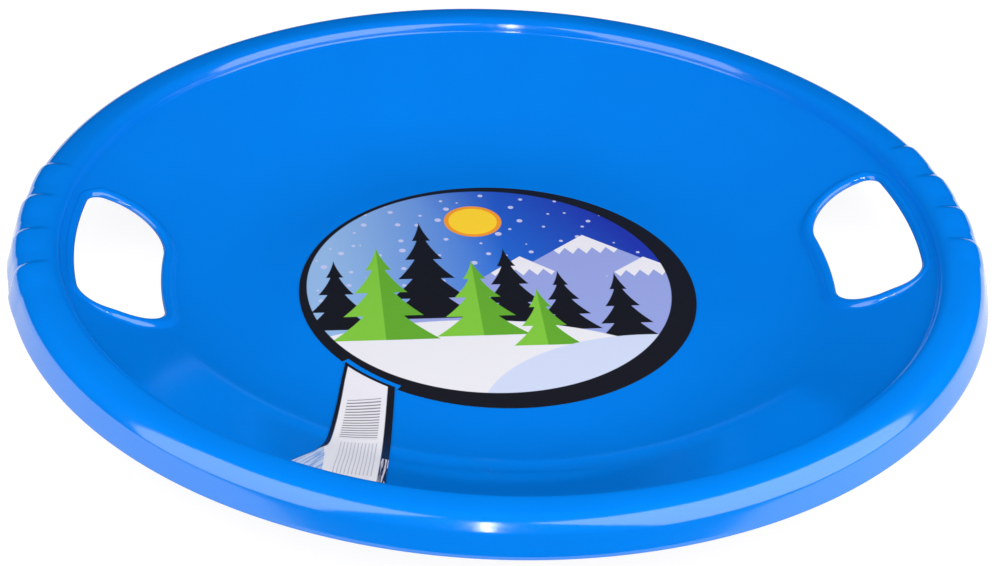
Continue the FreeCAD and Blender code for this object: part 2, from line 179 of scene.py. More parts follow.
# %% Sweep the skin
HOLE_ZONE = 20.0
FINE_STEPS = 50
COARSE_STEPS = 90
MERGE_GAP = 0.01

half_zone = (HOLE_ZONE, FINE_STEPS)
whole_zone = (2 * HOLE_ZONE, 2 * FINE_STEPS)
between_zones = (180 - 2 * HOLE_ZONE, COARSE_STEPS)
bpy.ops.mesh.select_all(action="SELECT")
for angle, steps in (half_zone, between_zones, whole_zone, between_zones, half_zone):
    bpy.ops.mesh.spin(steps=steps, angle=math.radians(angle), center=(0, 0, 0), axis=(0, 0, 1))
bpy.ops.mesh.select_all(action="SELECT")
bpy.ops.mesh.remove_doubles(threshold=MERGE_GAP * MM)
bpy.ops.mesh.normals_make_consistent(inside=False)
print("skin:", len(bmesh.from_edit_mesh(dish.data).faces), "faces")

# %% [markdown]
# ## The hand holes
# A hand hole is an opening in the sloping wall. Its edge rises in a rounded bead and rolls over, so that it
# is stiff and doesn't cut a glove. A boolean cut would leave long thin faces that spoil the reflections in a
# glossy wall. Here the faces round the hole are deleted as one patch, and the edge of the patch is extruded
# inwards, ring by ring, until it reaches the bead. More rings climb the bead, roll over its top and run down
# its side.

# %% Outline of the right-hand hole
HOLE_HALF_LENGTH = 60.8
RIM_EDGE_REACH, RIM_EDGE_BOW = 260.5, 271.0
SEAT_EDGE_REACH, SEAT_EDGE_BOW = 209.6, 262.0
# Rounds of the corners at each end, first at the rim edge and then at the seat edge
BACK_CORNERS = (10.0, 33.4)
FRONT_CORNERS = (22.5, 20.0)
ARC_POINTS = 40
TINY = 1e-9


def arc(hub, radius, first, last, out=1):
    """Points of an arc, each with its direction away from the hole."""
    angles = [math.radians(first + (last - first) * i / ARC_POINTS) for i in range(ARC_POINTS + 1)]
    rays = [Vector((math.cos(a), math.sin(a))) for a in angles]
    return [(Vector(hub) + ray * radius, ray * out) for ray in rays]


def corner_hub(edge_hub, reach, round_radius):
    """Centre of a corner round that touches the hole's end, and its direction from the edge's hub."""
    up = HOLE_HALF_LENGTH - round_radius
    across = math.sqrt(reach ** 2 - up ** 2)
    return Vector((edge_hub + across, up)), math.degrees(math.atan2(up, across))


class HalfOutline:
    """One end of the hole, from the middle of the rim edge to the middle of the seat edge."""

    def __init__(self, rim_corner, seat_corner):
        rim_hub = RIM_EDGE_REACH - RIM_EDGE_BOW
        seat_hub = SEAT_EDGE_REACH - SEAT_EDGE_BOW
        rim_spot, rim_turn = corner_hub(rim_hub, RIM_EDGE_BOW - rim_corner, rim_corner)
        seat_spot, seat_turn = corner_hub(seat_hub, SEAT_EDGE_BOW + seat_corner, seat_corner)
        self.points = (arc((rim_hub, 0), RIM_EDGE_BOW, 0, rim_turn)
                       + arc(rim_spot, rim_corner, rim_turn, 90)
                       + arc(seat_spot, seat_corner, 90, 180 + seat_turn)
                       + arc((seat_hub, 0), SEAT_EDGE_BOW, seat_turn, 0, out=-1))
        self.travel = [0.0]
        for (before, _), (after, _) in zip(self.points, self.points[1:]):
            self.travel.append(self.travel[-1] + (after - before).length)
        self.length = self.travel[-1]
        self.rim_mark = self.travel[ARC_POINTS + 1 + ARC_POINTS // 2]
        self.seat_mark = self.travel[2 * (ARC_POINTS + 1) + ARC_POINTS // 2]

    def at(self, distance):
        """Point and outward direction at a distance along the outline."""
        distance = min(max(distance, 0), self.length)
        i = max(1, next(i for i, gone in enumerate(self.travel) if gone >= distance - TINY))
        share = (distance - self.travel[i - 1]) / max(self.travel[i] - self.travel[i - 1], TINY)
        point = self.points[i - 1][0].lerp(self.points[i][0], share)
        return point, self.points[i - 1][1].lerp(self.points[i][1], share).normalized()


hole_ends = {1: HalfOutline(*BACK_CORNERS), -1: HalfOutline(*FRONT_CORNERS)}
print("the hole's outline is %.1f mm long" % sum(end.length for end in hole_ends.values()))

# %% Rings from the patch over the bead
PATCH_HALF_ANGLE = 18.8
PATCH_START_SLOPE = 20.0
PATCH_RINGS = 6
SEAT_BEAD = {"height": 3.2, "roll": 4.0, "foot": 2.0}
RIM_BEAD = {"height": 1.0, "roll": 2.6, "foot": 1.2}
# The bead changes from one to the other as the hole's edge turns to face the rim, from 0 across it to 1
BEAD_CHANGE = (0.1, 0.9)
FOOT_RINGS = 5
ROLL_RINGS = 14
GROOVE_WIDTH = 0.7
ON_RING = 0.1

slope = math.tan(math.radians(WALL_SLOPE))
bend_radius = FLOOR_FLAT + SEAT_ROUND * math.sin(math.radians(WALL_SLOPE))
patch_inner = FLOOR_FLAT + SEAT_ROUND * math.sin(math.radians(PATCH_START_SLOPE))


def seat_height(radius):
    """Height of the upper face at a radius, up to the top of the wall."""
    flat_part = min(max(radius - FLOOR_FLAT, 0), bend_radius - FLOOR_FLAT)
    curved = SEAT_ROUND - math.sqrt(SEAT_ROUND ** 2 - flat_part ** 2)
    return WALL_THICKNESS + curved + max(radius - bend_radius, 0) * slope


def on_seat(plan, rise=0.0):
    """A plan point set down on the seat, or over it."""
    return Vector((plan.x, plan.y, seat_height(plan.length) + rise))


def bead_section(height, roll, foot):
    """The bead from its foot to the hole, as pairs of distance from the hole and height over the seat."""
    flank = math.acos(1 - height / (roll + foot))
    reach = roll + (roll + foot) * math.sin(flank)
    section = []
    for ring in range(FOOT_RINGS):
        turn = flank * ring / FOOT_RINGS
        section.append((reach - foot * math.sin(turn), foot * (1 - math.cos(turn))))
    for ring in range(ROLL_RINGS + 1):
        turn = flank - (flank + math.pi / 2) * ring / ROLL_RINGS
        section.append((roll + roll * math.sin(turn), height - roll * (1 - math.cos(turn))))
    return section


def bead_at(edge, away):
    """The bead's section at a point of the hole's edge: lower towards the rim, and no wider than its room."""
    towards_rim = away.dot(edge.normalized())
    share = soft_step(towards_rim, *BEAD_CHANGE)
    shape = {name: SEAT_BEAD[name] + (RIM_BEAD[name] - SEAT_BEAD[name]) * share for name in SEAT_BEAD}
    section = bead_section(**shape)
    roll, reach = shape["roll"], section[0][0]
    if towards_rim < BEAD_CHANGE[0]:
        return section
    room = (wall_end - GROOVE_WIDTH - (edge + away * roll).length) / towards_rim
    squeeze = min(1.0, room / (reach - roll))
    return [(roll + (gap - roll) * squeeze if gap > roll else gap, rise) for gap, rise in section]


def ring_chain(corner):
    """Where one point of the patch's edge goes, ring by ring."""
    side_x, side_y = math.copysign(1, corner.x), math.copysign(1, corner.y)
    end = hole_ends[int(side_y)]
    plan = Vector((abs(corner.x), abs(corner.y))) / MM
    turn = math.degrees(math.atan2(plan.y, plan.x)) / PATCH_HALF_ANGLE
    if plan.length > wall_end - ON_RING:
        distance = turn * end.rim_mark
    elif plan.length < patch_inner + ON_RING:
        distance = end.length - turn * (end.length - end.seat_mark)
    else:
        down = (wall_end - plan.length) / (wall_end - patch_inner)
        distance = end.rim_mark + down * (end.seat_mark - end.rim_mark)
    edge, away = end.at(distance)
    section = bead_at(edge, away)
    begin = edge + away * section[0][0]
    chain = [on_seat(plan.lerp(begin, ring / PATCH_RINGS)) for ring in range(PATCH_RINGS)]
    chain += [on_seat(edge + away * gap, rise) for gap, rise in section]
    return [Vector((point.x * side_x, point.y * side_y, point.z)) * MM for point in chain]


# %% Cut and grow both holes
def spot_key(point):
    """A point in thousandths of a millimetre, to look it up by."""
    return tuple(round(number / MM, 3) for number in point)


def open_hand_hole(side):
    """Cut a patch out of the wall and grow its edge into a lip; side is 1 for right and -1 for left."""
    mesh = bmesh.from_edit_mesh(dish.data)
    bpy.ops.mesh.select_all(action="DESELECT")
    bpy.ops.mesh.select_mode(type="FACE")
    for face in mesh.faces:
        middle = face.calc_center_median()
        turn = math.degrees(math.atan2(abs(middle.y), middle.x * side))
        face.select_set(turn < PATCH_HALF_ANGLE and patch_inner < middle.xy.length / MM < wall_end)
    bpy.ops.mesh.delete(type="FACE")
    bpy.ops.mesh.select_mode(type="EDGE")
    mesh = bmesh.from_edit_mesh(dish.data)
    for edge in mesh.edges:
        inside = max(corner.co.xy.length for corner in edge.verts) / MM < wall_end + ON_RING
        edge.select_set(edge.is_boundary and inside and edge.verts[0].co.x * side > 0)
    starts = [vert.co.copy() for vert in mesh.verts if vert.select]
    rings = list(zip(*[ring_chain(start) for start in starts]))[1:]
    for ring in rings:
        bpy.ops.mesh.extrude_edges_move(TRANSFORM_OT_translate={"value": (0, 0, 0)})
        mesh = bmesh.from_edit_mesh(dish.data)
        moves = {spot_key(start): spot for start, spot in zip(starts, ring)}
        for vert in mesh.verts:
            if vert.select:
                vert.co = moves[spot_key(vert.co)]
        starts = ring
    bmesh.update_edit_mesh(dish.data)
    print("hand hole:", len(starts), "points round it,", len(rings), "rings")


open_hand_hole(1)
open_hand_hole(-1)
bpy.ops.mesh.select_all(action="SELECT")
bpy.ops.mesh.normals_make_consistent(inside=False)
bpy.ops.object.mode_set(mode="OBJECT")

# %% [markdown]
# ## The knuckle ribs
# Outside each hand hole, four low ribs run over the rim and down the skirt, where the knuckles of a gripping
# hand go. They look like scales: each climbs steeply at its rear edge and falls gently towards the next.
# They are part of the same skin, so they are made by pushing the skin out. Each point gets a weight in a
# vertex group, 1 on the top of a rib and 0 at its ends, and Displace modifiers move it by that weight.

# %% Push the ribs out
# Edges, climb and length are in degrees round the sled, counted from the X axis towards the back
RIB_REAR_EDGES = (15.6, 7.8, 0.0, -7.8)
RIB_CLIMB = 0.9
RIB_LENGTH = 5.2
RIB_REACH, RIB_RISE = 0.8, 1.2
RIB_FADE = (271.5, 280.0)
RIB_RISE_END = 49.4


def rib_weight(point):
    """1 on the top of a rib, less on its slopes and 0 off the ribs. Angles count from a rib's rear edge."""
    turn = math.degrees(math.atan2(point.y, abs(point.x)))
    past_edge = min((edge - turn for edge in RIB_REAR_EDGES if edge > turn), default=RIB_LENGTH)
    climb = math.sqrt(1 - max(0, 1 - past_edge / RIB_CLIMB) ** 2)
    fall = max(0, 1 - (past_edge / RIB_LENGTH) ** 2)
    return climb * fall * soft_step(point.xy.length / MM, *RIB_FADE)


groups = {name: dish.vertex_groups.new(name=name) for name in ("rib_right", "rib_left", "rib_rise")}
for vert in dish.data.vertices:
    weight = rib_weight(vert.co)
    if weight > 0:
        groups["rib_right" if vert.co.x > 0 else "rib_left"].add([vert.index], weight, "REPLACE")
        rise = weight * soft_step(vert.co.z / MM, SKIRT_FOOT, RIB_RISE_END)
        groups["rib_rise"].add([vert.index], rise, "REPLACE")
for group, direction, strength in (("rib_right", "X", RIB_REACH), ("rib_left", "X", -RIB_REACH),
                                   ("rib_rise", "Z", RIB_RISE)):
    finish_with(dish, "DISPLACE", direction=direction, strength=strength * MM, mid_level=0,
                vertex_group=group)
print("ribs on each side:", len(RIB_REAR_EDGES))

# %% [markdown]
# ## Thickness and edges
# The moulding has an even wall, because thick spots would sink in as the plastic cools. So the Solidify
# modifier gives the whole skin one thickness, downwards. A small Bevel rounds the sharp edges that it leaves
# round the holes and at the foot of the skirt, as the mould does.

# %% Give the skin its thickness
EDGE_ROUND = 0.7
SHARP_ANGLE = 50.0

finish_with(dish, "SOLIDIFY", thickness=WALL_THICKNESS * MM, offset=-1, use_quality_normals=True,
            use_rim=True)
finish_with(dish, "BEVEL", width=EDGE_ROUND * MM, segments=2, limit_method="ANGLE",
            angle_limit=math.radians(SHARP_ANGLE), use_clamp_overlap=True)
bpy.ops.object.shade_smooth_by_angle(angle=math.radians(SMOOTH_ANGLE))
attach(dish, "root")
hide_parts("dish")
print("dish:", sum(len(face.vertices) - 2 for face in dish.data.polygons), "triangles")

# %% [markdown]
# ## The label strip
# The strip is a printed film that starts beside the round sticker and climbs the wall. It is a grid, so that
# it can bend with the seat: each crossing of the grid is put between the strip's two edges and then set down
# on the seat. The grid's own UV map, from 0 to 1 across and along, carries the print.

# %% Lay the label strip
# The corners of each edge are pairs of a radius and an angle from the front
LABEL_HEAD, LABEL_END = 124.2, 261.0
LABEL_LEFT = ((LABEL_HEAD, 53.4), (218.8, 32.7), (LABEL_END, 31.8))
LABEL_RIGHT = ((LABEL_HEAD, 35.6), (LABEL_END, 19.8))
LABEL_LIFT = 0.3
LABEL_THICKNESS = 0.4
LABEL_ACROSS, LABEL_ALONG = 24, 80
FLARE_BLEND = 14.0
BLEND_SHARES = (-1, -0.5, 0, 0.5, 1)


def from_front(radius, angle):
    """A plan point from its radius and its angle from the front (-Y) towards the left (-X)."""
    turn = math.radians(angle)
    return Vector((-radius * math.sin(turn), -radius * math.cos(turn)))


def edge_angle(path, radius):
    """Where a straight-sided edge of the strip crosses a radius, as an angle from the front."""
    corners = [from_front(*corner) for corner in path]
    run = next((i for i in range(1, len(path)) if radius <= path[i][0] + TINY), len(path) - 1)
    start, along = corners[run - 1], corners[run] - corners[run - 1]
    a, b, c = along.dot(along), start.dot(along), start.dot(start) - radius ** 2
    point = start + along * (-b + math.sqrt(b * b - a * c)) / a
    return math.degrees(math.atan2(-point.x, -point.y))


def soft_edge_angle(path, radius):
    """The same, with its corner eased over a short run."""
    nearby = [min(max(radius + share * FLARE_BLEND, LABEL_HEAD), LABEL_END) for share in BLEND_SHARES]
    edge = sum(edge_angle(path, r) for r in nearby) / len(nearby)
    middle = sum(nearby) / len(nearby)
    return edge + edge_angle(path, radius) - edge_angle(path, middle)


leave_everything()
bpy.ops.mesh.primitive_grid_add(x_subdivisions=LABEL_ACROSS, y_subdivisions=LABEL_ALONG, size=1)
label = bpy.context.object
label.name = "printed_label_strip"
for vert in label.data.vertices:
    across, along = vert.co.x + 0.5, 0.5 - vert.co.y
    radius = LABEL_HEAD + along * (LABEL_END - LABEL_HEAD)
    left, right = soft_edge_angle(LABEL_LEFT, radius), edge_angle(LABEL_RIGHT, radius)
    plan = from_front(radius, left + (right - left) * across)
    vert.co = on_seat(plan, LABEL_LIFT) * MM
finish_with(label, "SOLIDIFY", thickness=LABEL_THICKNESS * MM, offset=1, use_rim=True)
bpy.ops.object.shade_smooth_by_angle(angle=math.radians(SMOOTH_ANGLE))
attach(label, "root")
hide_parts("label_strip")
label_top = max(vert.co.z for vert in label.data.vertices) / MM
print("label strip:", len(label.data.polygons), "faces, up to %.1f mm high" % label_top)

# %% [markdown]
# ## Materials
# Colours are written as sRGB hex values, as a paint program shows them, and one function turns them to the
# linear values that the shader wants. One more function adds a node and links what feeds it. Most of a noise
# lies between the two values of NOISE_SPAN, so a finish that follows a noise is stretched over them.

# %% Helpers for materials
NOISE_SPAN = (0.3, 0.7)
WHITE = (1, 1, 1, 1)
# Where a Mix node keeps its two colours and its mixed colour
MIX_UNDER, MIX_OVER, MIXED = 6, 7, 2


def colour(code):
    """An sRGB hex colour as linear red, green, blue and alpha."""
    parts = [int(code[i:i + 2], 16) / 255 for i in (1, 3, 5)]
    return [part / 12.92 if part <= 0.04045 else ((part + 0.055) / 1.055) ** 2.4 for part in parts] + [1]


def add(tree, kind, *feeds, plugs=None, **settings):
    """Add a node. Feeds fill its sockets in order and plugs by name, with numbers, colours or outputs."""
    made = tree.nodes.new(kind)
    for name, value in settings.items():
        setattr(made, name, value)
    wanted = dict(enumerate(feeds))
    wanted.update(plugs or {})
    for socket, value in wanted.items():
        if isinstance(value, bpy.types.NodeSocket):
            tree.links.new(value, made.inputs[socket])
        else:
            made.inputs[socket].default_value = value
    return made


def new_material(name):
    """A new material, its node tree and its shader."""
    material = bpy.data.materials.new(name)
    material.use_nodes = True
    return material, material.node_tree, material.node_tree.nodes["Principled BSDF"]


def wear(piece, material):
    """Put one material on a piece."""
    piece.data.materials.clear()
    piece.data.materials.append(material)
    print("material:", material.name, "with", len(material.node_tree.nodes), "nodes")


# %% [markdown]
# ## The blue plastic
# Saucer sleds are injection moulded from polyethylene that is dyed right through. A polished mould gives a
# deep, even colour and clear highlights. The wall shrinks as it cools, which leaves a faint long wave in the
# gloss, and handling leaves a fine haze. A photograph of plastic would fix one light on it, so noise in the
# object's own coordinates gives the wave and the haze, and the lamps make the highlights.

# %% Glossy moulded polyethylene
# A polished mould leaves polyethylene smooth, so its highlights are clear and only slightly soft. Its index
# is about 1.53, and the higher one set here makes up for lamps that are dimmer than a photographer's
PLASTIC_INDEX = 1.8
PLASTIC_ROUGHNESS = (0.09, 0.13)
SHRINK_WAVE, SHRINK_DEPTH = 45.0, 0.03
HAZE_GRAIN = 2.5
DYE, DYE_DEEP = colour("#0081ee"), colour("#007ce8")

plastic, tree, shader = new_material("glossy_moulded_polyethylene")
place = add(tree, "ShaderNodeTexCoord").outputs["Object"]
long_wave = {"Scale": 1 / (SHRINK_WAVE * MM), "Detail": 1.0}
wave = add(tree, "ShaderNodeTexNoise", place, plugs=long_wave).outputs["Fac"]
fine_haze = {"Scale": 1 / (HAZE_GRAIN * MM), "Detail": 3.0}
haze = add(tree, "ShaderNodeTexNoise", place, plugs=fine_haze).outputs["Fac"]
two_dyes = {"Factor": wave, MIX_UNDER: DYE, MIX_OVER: DYE_DEEP}
dye = add(tree, "ShaderNodeMix", plugs=two_dyes, data_type="RGBA").outputs[MIXED]
gloss = add(tree, "ShaderNodeMapRange", haze, *NOISE_SPAN, *PLASTIC_ROUGHNESS).outputs[0]
ripple = add(tree, "ShaderNodeBump", plugs={"Strength": 1.0, "Distance": SHRINK_DEPTH * MM, "Height": wave})
tree.links.new(dye, shader.inputs["Base Color"])
tree.links.new(gloss, shader.inputs["Roughness"])
tree.links.new(ripple.outputs[0], shader.inputs["Normal"])
shader.inputs["IOR"].default_value = PLASTIC_INDEX
wear(dish, plastic)

# %% [markdown]
# ## The round sticker
# The real sticker is a printed vinyl film with a wide black border that is cut off centre. The print made
# here is a small winter landscape of flat inks. A picture file would be blurred up close, so the picture is
# built from distances: for each motif, nodes work out how many millimetres a point lies inside its outline,
# and the ink goes on where that is above 0. The motifs are printed one over the other, from the sky to the
# snow in front.

# %% Printing one ink over another, in the node tree at hand
INK_EDGE = 0.25


def print_over(picture, measure, ink, low=-INK_EDGE, high=INK_EDGE):
    """Print an ink over a picture where a measure is above 0, or fade it in between two values."""
    share = add(tree, "ShaderNodeMapRange", measure, low, high).outputs[0]
    inks = {"Factor": share, MIX_UNDER: picture, MIX_OVER: ink}
    return add(tree, "ShaderNodeMix", plugs=inks, data_type="RGBA").outputs[MIXED]


def past(measure, limit):
    """How far a measure is past a limit."""
    return add(tree, "ShaderNodeMath", measure, limit, operation="SUBTRACT").outputs[0]


def both(first, second):
    """How far a point lies inside two outlines at once."""
    return add(tree, "ShaderNodeMath", first, second, operation="MINIMUM").outputs[0]


# %% Motifs of the landscape
SNOW_TOOTH, TOOTH_STEEPNESS, CAP_TEETH = 4.5, 1.6, 5

film, tree, shader = new_material("printed_vinyl_film")
place = add(tree, "ShaderNodeTexCoord").outputs["Object"]
sheet = add(tree, "ShaderNodeMapping", place, plugs={"Scale": (1 / MM, 1 / MM, 0)}).outputs[0]
axes = add(tree, "ShaderNodeSeparateXYZ", sheet)
x, y = axes.outputs["X"], axes.outputs["Y"]


def oval(middle, radii):
    """How far inside an oval a point lies."""
    fitted = add(tree, "ShaderNodeMapping", sheet, plugs={"Location": (*middle, 0), "Scale": (*radii, 1)},
                 vector_type="TEXTURE").outputs[0]
    away = add(tree, "ShaderNodeVectorMath", fitted, operation="LENGTH").outputs["Value"]
    return add(tree, "ShaderNodeMath", away, -radii[1], radii[1], operation="MULTIPLY_ADD").outputs[0]


def disc(middle, radius):
    """How far inside a circle a point lies."""
    return oval(middle, (radius, radius))


def beside(middle):
    """How far a point lies to either side of an upright line."""
    return add(tree, "ShaderNodeMath", past(x, middle), operation="ABSOLUTE").outputs[0]


def peak(top, lean):
    """How far a point lies under the two slopes of a peak."""
    slopes = add(tree, "ShaderNodeMath", beside(top[0]), -lean, top[1], operation="MULTIPLY_ADD").outputs[0]
    return past(slopes, y)


def snow_line(top):
    """How far a point lies over the jagged lower edge of a snow cap."""
    teeth = add(tree, "ShaderNodeMath", beside(top[0]), SNOW_TOOTH, operation="PINGPONG").outputs[0]
    lowest = top[1] - CAP_TEETH * SNOW_TOOTH
    line = add(tree, "ShaderNodeMath", teeth, TOOTH_STEEPNESS, lowest, operation="MULTIPLY_ADD").outputs[0]
    return past(y, line)


def fir(middle, foot, height, half_width, tiers):
    """How far inside a fir a point lies: its boughs come in tiers, each wider than the one above."""
    down = add(tree, "ShaderNodeMapRange", y, foot + height, foot, 0, 1, clamp=False).outputs[0]
    tier = add(tree, "ShaderNodeMath", down, tiers, operation="MULTIPLY").outputs[0]
    bough = add(tree, "ShaderNodeMath", tier, operation="FRACT").outputs[0]
    least = half_width / 2
    spread = add(tree, "ShaderNodeMath", bough, least, least, operation="MULTIPLY_ADD").outputs[0]
    reach = add(tree, "ShaderNodeMath", spread, down, operation="MULTIPLY").outputs[0]
    return both(past(reach, beside(middle)), past(y, foot))


# %% Places and inks of the landscape
# Places and sizes are in millimetres from the middle of the sticker
PICTURE_MIDDLE, PICTURE_RADIUS = (-5.0, 5.0), 115.0
SKY_SLANT = 0.5
MID_SKY_FADE, DEEP_SKY_FADE = (-105, 10), (10, 120)
SNOW_SPACING = 17.0
FLAKE_SPREAD, FLAKE_LEAST = 2.6, 0.2
SUN_MIDDLE, SUN_RADIUS, SUN_RING = (-8, 82), 16, 3
FRONT_SNOW = ((-30, -125), (150, 92))
SHADED_SNOW = ((85, -138), (110, 84))
# Each peak has its top and the lean of its slopes, each fir its middle, foot, height, half width and tiers
PEAKS = (((62, 62), 0.85), ((98, 34), 0.8), ((18, 38), 0.9))
DARK_FIRS = ((-102, -40, 78, 22, 4), (-44, -30, 112, 30, 5), (8, -36, 84, 24, 4), (40, -46, 66, 20, 4),
             (76, -60, 76, 22, 4))
LIME_FIRS = ((-74, -52, 104, 33, 4), (-14, -50, 84, 29, 4), (24, -62, 62, 21, 3))

PALE_SKY, MID_SKY, DEEP_SKY = colour("#93b9e6"), colour("#1c6cd8"), colour("#1c33ae")
FALLING_SNOW = colour("#c3c8f0")
SUN, SUN_EDGE = colour("#ffd328"), colour("#f59a23")
ROCK, CAP = colour("#97a4e2"), colour("#eceaf3")
NIGHT_GREEN = colour("#191a22")
LIME, LIME_SHADE = colour("#80c83c"), colour("#63ab2c")
SNOW, SNOW_SHADE = colour("#eae9f0"), colour("#cfd9f4")
BORDER = colour("#1a1b24")

# %% Printing the landscape
slant = add(tree, "ShaderNodeMath", y, SKY_SLANT, x, operation="MULTIPLY_ADD").outputs[0]
picture = print_over(PALE_SKY, x, MID_SKY, *MID_SKY_FADE)
picture = print_over(picture, slant, DEEP_SKY, *DEEP_SKY_FADE)
flakes = add(tree, "ShaderNodeTexVoronoi", sheet, plugs={"Scale": 1 / SNOW_SPACING},
             voronoi_dimensions="2D").outputs
flake_size = add(tree, "ShaderNodeMath", flakes["Color"], FLAKE_SPREAD, FLAKE_LEAST,
                 operation="MULTIPLY_ADD").outputs[0]
in_flake = add(tree, "ShaderNodeMath", flakes["Distance"], -SNOW_SPACING, flake_size,
               operation="MULTIPLY_ADD").outputs[0]
picture = print_over(picture, in_flake, FALLING_SNOW)
picture = print_over(picture, disc(SUN_MIDDLE, SUN_RADIUS + SUN_RING), SUN_EDGE)
picture = print_over(picture, disc(SUN_MIDDLE, SUN_RADIUS), SUN)
for top, lean in PEAKS:
    slopes = peak(top, lean)
    picture = print_over(picture, slopes, ROCK)
    picture = print_over(picture, both(slopes, snow_line(top)), CAP)
for tree_shape in DARK_FIRS:
    picture = print_over(picture, fir(*tree_shape), NIGHT_GREEN)
picture = print_over(picture, oval(*FRONT_SNOW), SNOW)
for tree_shape in LIME_FIRS:
    outline = fir(*tree_shape)
    picture = print_over(picture, outline, LIME)
    picture = print_over(picture, both(outline, past(x, tree_shape[0])), LIME_SHADE)
picture = print_over(picture, oval(*SHADED_SNOW), SNOW_SHADE)
picture = print_over(BORDER, disc(PICTURE_MIDDLE, PICTURE_RADIUS), picture)

# %% Finish of the sticker film
# Calendered vinyl has a satin skin, a little uneven over its glue, so its highlights are broad and weak
FILM_ROUGHNESS = (0.34, 0.42)
GLUE_RIPPLE, GLUE_DEPTH = 6.0, 0.01

uneven = {"Scale": 1 / GLUE_RIPPLE, "Detail": 2.0}
ripple = add(tree, "ShaderNodeTexNoise", sheet, plugs=uneven).outputs["Fac"]
satin = add(tree, "ShaderNodeMapRange", ripple, *NOISE_SPAN, *FILM_ROUGHNESS).outputs[0]
relief = add(tree, "ShaderNodeBump", plugs={"Strength": 1.0, "Distance": GLUE_DEPTH * MM, "Height": ripple})
tree.links.new(picture, shader.inputs["Base Color"])
tree.links.new(satin, shader.inputs["Roughness"])
tree.links.new(relief.outputs[0], shader.inputs["Normal"])
wear(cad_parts["round_sticker"], film)

# %% [markdown]
# ## The label strip's print
# The strip is a white satin film with a black border, which is wider on the right, a block of even bars
# across it and fine rules along it. Its white is painted a little lighter towards the lower end, as painted
# light against the shade of the wall that the strip climbs there. Its lower right corner is creased, and
# pale streaks are painted on the creases as painted highlights, where they would catch the light. At its
# lower left a tip of clear film is left, and the blue shows through it. The print follows the strip, so it
# is measured in millimetres along it and from both sides, which come from the strip's own UV map. The strip
# slants over the seat, so one more measure is skewed to lie square to it.

# %% Measures on the strip
LABEL_LENGTH = 146.0
LABEL_WIDTH, FLARE_WIDTH = 38.4, 54.7
FLARE_START, FLARE_CURVE = 80.0, 1.65
PRINT_SKEW = 0.65

label_film, tree, shader = new_material("printed_label_film")
strip = add(tree, "ShaderNodeTexCoord").outputs["UV"]
axes = add(tree, "ShaderNodeSeparateXYZ", strip)
along = add(tree, "ShaderNodeMapRange", axes.outputs["Y"], 1, 0, 0, LABEL_LENGTH).outputs[0]
flare = add(tree, "ShaderNodeMapRange", along, FLARE_START, LABEL_LENGTH).outputs[0]
flare = add(tree, "ShaderNodeMath", flare, FLARE_CURVE, operation="POWER").outputs[0]
width = add(tree, "ShaderNodeMapRange", flare, 0, 1, LABEL_WIDTH, FLARE_WIDTH).outputs[0]
from_left = add(tree, "ShaderNodeMath", axes.outputs["X"], width, operation="MULTIPLY").outputs[0]
from_right = past(width, from_left)
square = add(tree, "ShaderNodeMath", from_left, PRINT_SKEW, along, operation="MULTIPLY_ADD").outputs[0]


def between(measure, low, high):
    """How far a measure is inside its two limits."""
    return both(past(measure, low), past(high, measure))


def lines(measure, spacing, thickness):
    """How far inside the nearest of many even lines a point lies."""
    gap = add(tree, "ShaderNodeMath", measure, spacing / 2, operation="PINGPONG").outputs[0]
    return past(thickness / 2, gap)


# %% Printing the label
# Between these distances along the strip the white turns lighter: painted light against the wall's shade
PAINTED_LIGHT_FADE = (20, 60)
BAR_SPACING, BAR_THICKNESS = 3.1, 1.2
BAR_RUN, BAR_SIDES = (34, 80), (8.5, 31.5)
RULE_SPACING, RULE_THICKNESS = 2.1, 0.5
RULE_RUN, RULE_SIDES = (86, 160), (7, 31)
LABEL_WHITE, LABEL_PAINTED_LIGHT = colour("#eae8f0"), colour("#f6f5f9")
BAR, RULE = colour("#84828c"), colour("#bcbac4")

# Painted light: the white field is lighter towards the lower end, where the strip climbs the shaded wall
print_field = print_over(LABEL_WHITE, along, LABEL_PAINTED_LIGHT, *PAINTED_LIGHT_FADE)
bar_block = both(between(square, *BAR_RUN), between(from_right, *BAR_SIDES))
print_field = print_over(print_field, both(lines(square, BAR_SPACING, BAR_THICKNESS), bar_block), BAR)
rule_block = both(between(square, *RULE_RUN), between(from_right, *RULE_SIDES))
print_field = print_over(print_field, both(lines(from_right, RULE_SPACING, RULE_THICKNESS), rule_block), RULE)

# %% Tip, border and painted crease highlights of the label
CREASE_COUNTS = (42, 4, 1)
FOLD_GAIN, FOLD_LEVEL = 12.0, -6.2
TIP_START, TIP_WIDTH = 96.0, 19.0
HEAD_BORDER, RIGHT_BORDER = 2.2, 4.8
LEFT_BORDER, BORDER_END = (2.7, 0.4), (94, 106)
GLINT_START, GLINT_WIDTH = 90, 4.6
CLEAR_TIP, TIP_FOLD = colour("#cfdcf5"), colour("#86a9e2")
# Pale colour of the painted highlights where the creases would catch the light
PAINTED_CREASE_GLINT = colour("#d6d0da")

